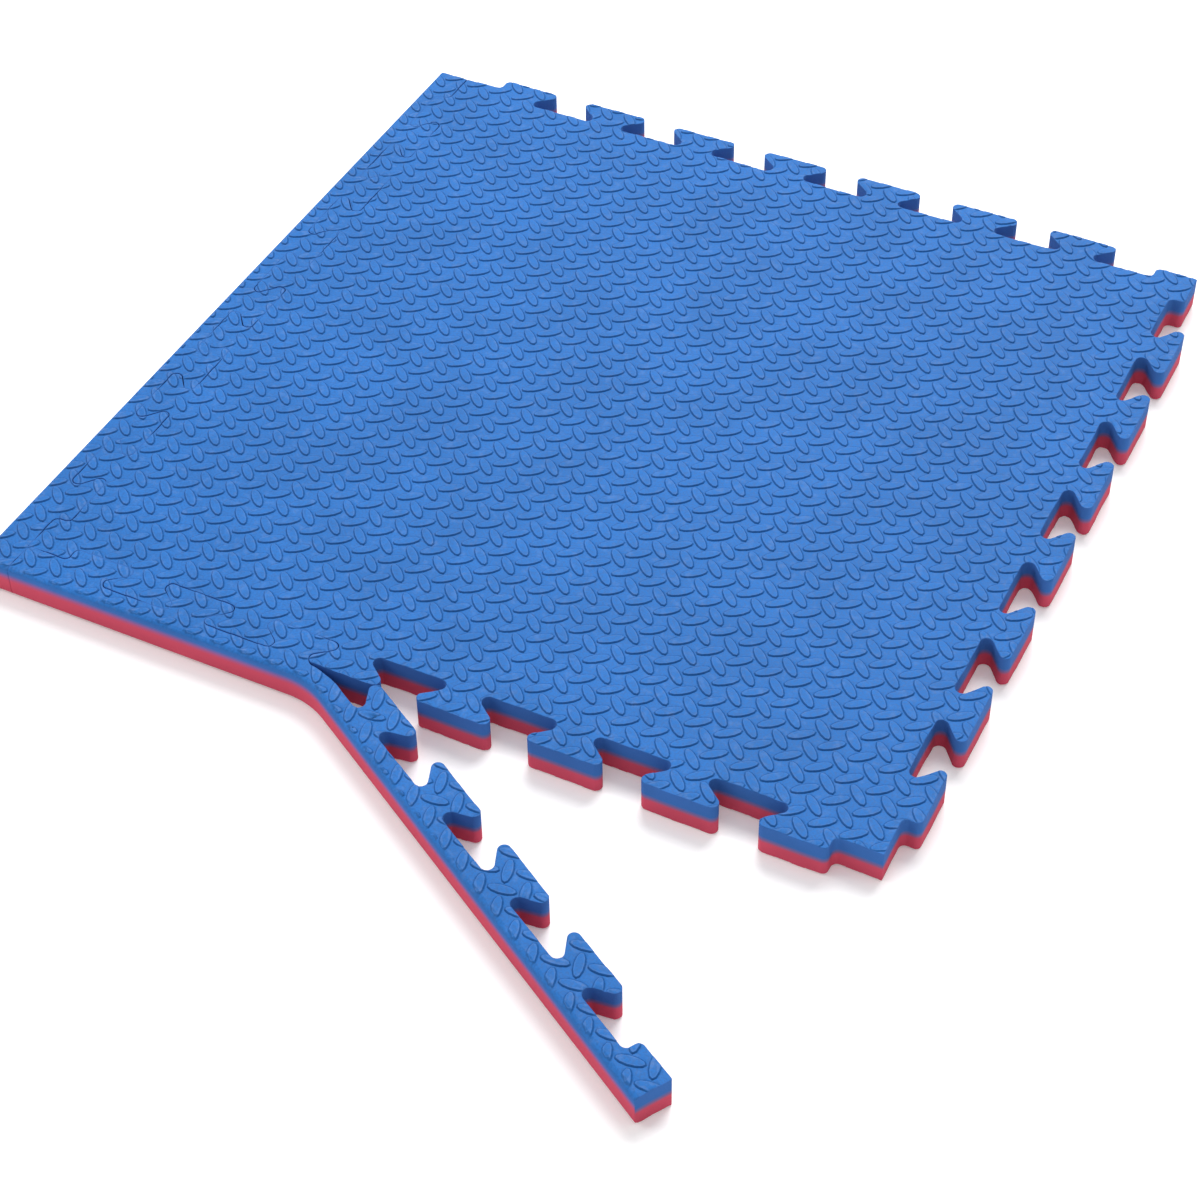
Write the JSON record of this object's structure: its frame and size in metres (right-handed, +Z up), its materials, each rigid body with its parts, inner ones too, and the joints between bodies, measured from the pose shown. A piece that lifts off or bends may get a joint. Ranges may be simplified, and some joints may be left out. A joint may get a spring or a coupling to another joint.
{
  "type": "interlocking foam mat",
  "caption": "Square two-colour foam mat tile with jigsaw edges, a grained face on both sides, and straight border strips, one of them half pulled away.",
  "frame": {"origin": "middle of the tile's underside, on the floor", "axes": "+X runs right along the tile's front side, +Y runs to its back side, +Z points up through its thickness"},
  "size_m": [0.6356, 0.8269, 0.025],
  "materials": {
    "blue_foam": "matte closed-cell foam with a raised leaf grain",
    "red_foam": "matte closed-cell foam with a raised leaf grain"
  },
  "bodies": {
    "tile": {"tile_red_layer": "red_foam", "tile_blue_layer": "blue_foam"},
    "left_border": {"left_border_red_layer": "red_foam", "left_border_blue_layer": "blue_foam"},
    "front_border_seated": {"front_border_seated_red_layer": "red_foam", "front_border_seated_blue_layer": "blue_foam"},
    "front_border_middle": {"front_border_middle_red_layer": "red_foam", "front_border_middle_blue_layer": "blue_foam"},
    "front_border_tail": {"front_border_tail_red_layer": "red_foam", "front_border_tail_blue_layer": "blue_foam"}
  },
  "joints": [
    {"name": "left_border_lift", "type": "slide", "parent": "tile", "child": "left_border", "axis": [0, 0, 1], "range_m": [0, 0.06]},
    {"name": "front_border_lift", "type": "slide", "parent": "tile", "child": "front_border_seated", "axis": [0, 0, 1], "range_m": [0, 0.06]},
    {"name": "front_border_swing", "type": "hinge", "parent": "front_border_seated", "child": "front_border_middle", "pos_m": [-0.07155, -0.32775, 0.0125], "axis": [0, 0, -1], "range_deg": [0, 45]},
    {"name": "front_border_peel", "type": "hinge", "parent": "front_border_middle", "child": "front_border_tail", "pos_m": [0.00687, -0.3656, 0.025], "axis": [-0.515, -0.8572, 0], "range_deg": [0, 45]}
  ]
}
